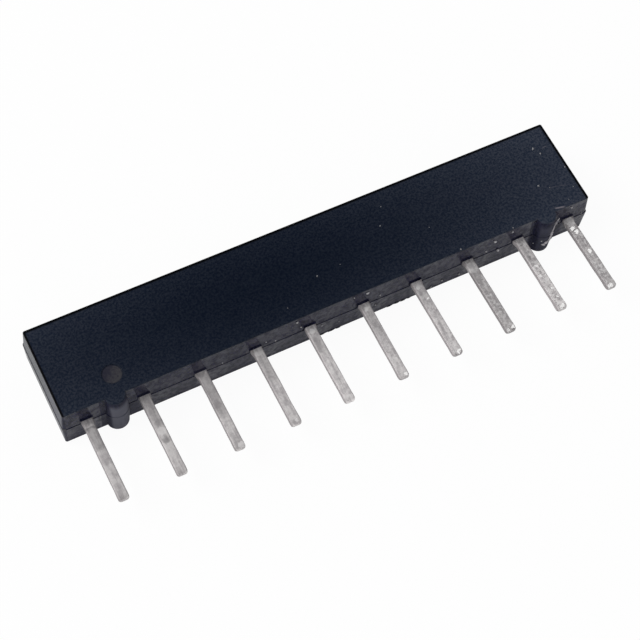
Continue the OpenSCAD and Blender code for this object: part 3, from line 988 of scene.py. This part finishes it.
def flash_route(surface, corners):
    """Points on the skin, and the directions it faces there, along a route of x and z."""
    route = []
    for (x0, z0), (x1, z1) in zip(corners, corners[1:]):
        for k in range(FLASH_STEPS):
            share = k / FLASH_STEPS
            start, way, _ = before_lead_side(x0 + (x1 - x0) * share, z0 + (z1 - z0) * share)
            route.append(landing(surface, start, way))
    return route


def sliver_mesh(surface):
    """Torn flash: ragged strips that run down beside the last standoff and over its end."""
    look = looks().wear
    draw = random.Random(11)
    mesh = bmesh.new()
    for corners, (start_share, end_share) in zip(FLASH_ROUTES, FLASH_SPREADS):
        route = flash_route(surface, corners)
        last = len(route) - 1
        rings = []
        for index, (point, normal) in enumerate(route):
            before = route[max(0, index - 1)][0]
            after = route[min(last, index + 1)][0]
            side = normal.cross(after - before).normalized()
            share = index / last
            half = 0.5 * look.sliver_width * (start_share + (end_share - start_share) * share * share)
            half *= draw.uniform(*FLASH_WIDTHS)
            rise = look.sliver_rise * draw.uniform(*FLASH_HEIGHTS)
            middle = point + side * (FLASH_SWAY * look.sliver_width * draw.uniform(-1.0, 1.0))
            section = [middle + half * aside * side + rise * up * normal for aside, up in FLASH_SECTION]
            rings.append([mesh.verts.new(corner) for corner in section])
        close_rings(mesh, rings)
    return made_mesh(mesh, "flash_sliver")


class NETWORK_OT_finish_body(bpy.types.Operator):
    """Gives the moulded body its near-black epoxy finish"""

    bl_idname = "network.finish_body"
    bl_label = "Finish body"

    def execute(self, context):
        dress(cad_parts["moulded_body"], epoxy_finish())
        return {"FINISHED"}


class NETWORK_OT_build_leads(bpy.types.Operator):
    """Builds the solder-dipped leads over the solid ones"""

    bl_idname = "network.build_leads"
    bl_label = "Build leads"

    def execute(self, context):
        for number in range(1, LEAD_COUNT + 1):
            coat = LEAD_COATS[(number - 1) % len(LEAD_COATS)]
            finish = tin_finish(number, coat)
            mesh = lead_mesh(number, coat.lean)
            piece = new_piece(f"tinned_lead_{number}", mesh, finish)
            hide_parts(f"lead_{number}")
        return {"FINISHED"}


class NETWORK_OT_add_wear(bpy.types.Operator):
    """Lays dust and crumbs on the body and torn flash beside the last standoff"""

    bl_idname = "network.add_wear"
    bl_label = "Add wear"

    def execute(self, context):
        look = looks().wear
        surface = body_surface()
        draw = random.Random(5)
        face_dust = layer_finish("face_dust", look.face_dust)
        dust = layer_finish("dust", look.dust)
        crumbs = layer_finish("epoxy_crumbs", look.crumb)
        rows = (
            ("face_flecks", FACE_FLECKS, over_face, FACE_LEANS, look.fleck_rise, face_dust),
            ("side_flecks", SIDE_FLECKS, before_lead_side, SIDE_LEANS, look.lump_rise, dust),
            ("edge_crumbs", EDGE_CRUMBS, before_lead_side, CRUMB_LEANS, look.crumb_rise, crumbs),
        )
        for name, spots, approach, leans, rise, finish in rows:
            mesh = flecks_mesh(name, surface, spots, approach, leans, rise, draw)
            new_piece(name, mesh, finish)
        flash = layer_finish("torn_flash", look.flash)
        new_piece("flash_sliver", sliver_mesh(surface), flash)
        return {"FINISHED"}


class NETWORK_OT_finish_insert(bpy.types.Operator):
    """Gives the plate, films, glass and solder inside the body their finishes"""

    bl_idname = "network.finish_insert"
    bl_label = "Finish insert"

    def execute(self, context):
        look = looks().insert
        silver = layer_finish("silver_film", look.conductor)
        finishes = {  # by the first word of a node's name
            "ceramic": layer_finish("alumina_plate", look.alumina),
            "common": silver,
            "pad": silver,
            "resistor": layer_finish("resistor_film", look.resistor),
            "overglaze": layer_finish("glass_coat", look.glaze),
            "solder": layer_finish("solder_joint", look.solder),
        }
        for name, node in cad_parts.items():
            kind = name.split("_")[0]
            if kind in finishes:
                dress(node, finishes[kind])
        return {"FINISHED"}


def floor_finish():
    """White floor for what looks at it, which keeps a share of the object's shadow."""
    look = looks().studio
    recipe = Recipe.finish("studio_floor", {"Roughness": 0.9, "Specular IOR Level": 0.1})
    soft = recipe.cloud(recipe.place(), 0.02, 2.0)
    shaded = [look.floor_shade * channel for channel in look.floor_tone]
    recipe.feed(Base_Color=recipe.blend(soft, look.floor_tone, shaded))
    camera, glossy, through = (
        recipe.node("ShaderNodeLightPath", out=ray)
        for ray in ("Is Camera Ray", "Is Glossy Ray", "Is Transmission Ray")
    )
    white = recipe.node("ShaderNodeEmission", {}, {"Color": (1.0, 1.0, 1.0, 1.0), "Strength": 1.0})
    lit = Reading(recipe, recipe.shader.outputs[0])
    share = camera * (1.0 - look.shadow_share) + (glossy + through) * (1.0 - look.mirror_share)
    floor = recipe.node("ShaderNodeMixShader", {}, {0: share, 1: lit, 2: white})
    recipe.tree.links.new(floor.socket, recipe.tree.nodes["Material Output"].inputs["Surface"])
    return recipe.material


def towards(azimuth, elevation):
    """Direction from the object to a camera or lamp; azimuth 0 stands at -Y."""
    level = math.cos(elevation)
    return Vector((level * math.sin(azimuth), -level * math.cos(azimuth), math.sin(elevation)))


def aimed(thing, place, aim, roll=0.0):
    """Puts a lamp or camera at a place, looking at a point."""
    thing.location = place
    look = (aim - place).to_track_quat("-Z", "Y") @ Quaternion((0.0, 0.0, 1.0), roll)
    thing.rotation_euler = look.to_euler()
    bpy.context.scene.collection.objects.link(thing)


class NETWORK_OT_set_stage(bpy.types.Operator):
    """Sets up the pale floor, the soft light and the camera"""

    bl_idname = "network.set_stage"
    bl_label = "Set stage"

    def execute(self, context):
        look = looks().studio
        scene = context.scene
        scene.view_settings.view_transform = "Standard"

        half = 0.5 * look.floor_side
        data = bpy.data.meshes.new("floor")
        level = CAD_BOX[0][2] - look.floor_gap
        corners = [(-half, -half, level), (half, -half, level), (half, half, level), (-half, half, level)]
        data.from_pydata(corners, [], [(0, 1, 2, 3)])
        floor = bpy.data.objects.new("floor", data)
        scene.collection.objects.link(floor)
        data.materials.append(floor_finish())

        world = bpy.data.worlds.new("soft_surroundings")
        scene.world = world
        world.use_nodes = True
        recipe = Recipe(world.node_tree)
        way = recipe.node("ShaderNodeTexCoord", out="Generated")
        height = recipe.axes(way)[2]
        dusk = recipe.rise(height, look.dusk_low, look.dusk_high)
        sky = recipe.blend(dusk, look.horizon, look.zenith)
        background = world.node_tree.nodes["Background"]
        world.node_tree.links.new(sky.socket, background.inputs["Color"])
        background.inputs["Strength"].default_value = 1.0

        middle = Vector(look.view_aim)
        lamp = bpy.data.lights.new("soft_key", "AREA")
        lamp.energy = look.key_power
        lamp.size = look.key_side
        way = towards(look.key_azimuth, look.key_elevation)
        aimed(bpy.data.objects.new(lamp.name, lamp), middle + look.key_distance * way, middle)

        lens = bpy.data.cameras.new("camera")
        lens.lens = look.lens
        lens.clip_start = look.near_clip
        lens.clip_end = look.far_clip
        camera = bpy.data.objects.new("camera", lens)
        stand = middle + look.view_distance * towards(look.view_azimuth, look.view_elevation)
        aimed(camera, stand, middle, look.view_roll)
        scene.camera = camera
        return {"FINISHED"}


class NETWORK_PT_panel(bpy.types.Panel):
    """Lists the steps that dress the part"""

    bl_label = "Resistor network"
    bl_idname = "NETWORK_PT_panel"
    bl_space_type = "VIEW_3D"
    bl_region_type = "UI"
    bl_category = "Network"

    def draw(self, context):
        for step in STEPS:
            self.layout.operator(step.bl_idname)


STEPS = (
    NETWORK_OT_finish_body,
    NETWORK_OT_build_leads,
    NETWORK_OT_add_wear,
    NETWORK_OT_finish_insert,
    NETWORK_OT_set_stage,
)
CLASSES = (EpoxyLook, LeadLook, WearLook, InsertLook, StudioLook, NetworkLook, *STEPS, NETWORK_PT_panel)


def register():
    for cls in CLASSES:
        bpy.utils.register_class(cls)
    bpy.types.Scene.resistor_network = PointerProperty(type=NetworkLook)


def unregister():
    del bpy.types.Scene.resistor_network
    for cls in reversed(CLASSES):
        bpy.utils.unregister_class(cls)


def main():
    """Registers the add-on and dresses the part."""
    register()
    bpy.ops.network.finish_body()
    bpy.ops.network.build_leads()
    bpy.ops.network.add_wear()
    bpy.ops.network.finish_insert()
    bpy.ops.network.set_stage()


if __name__ == "__main__":
    main()
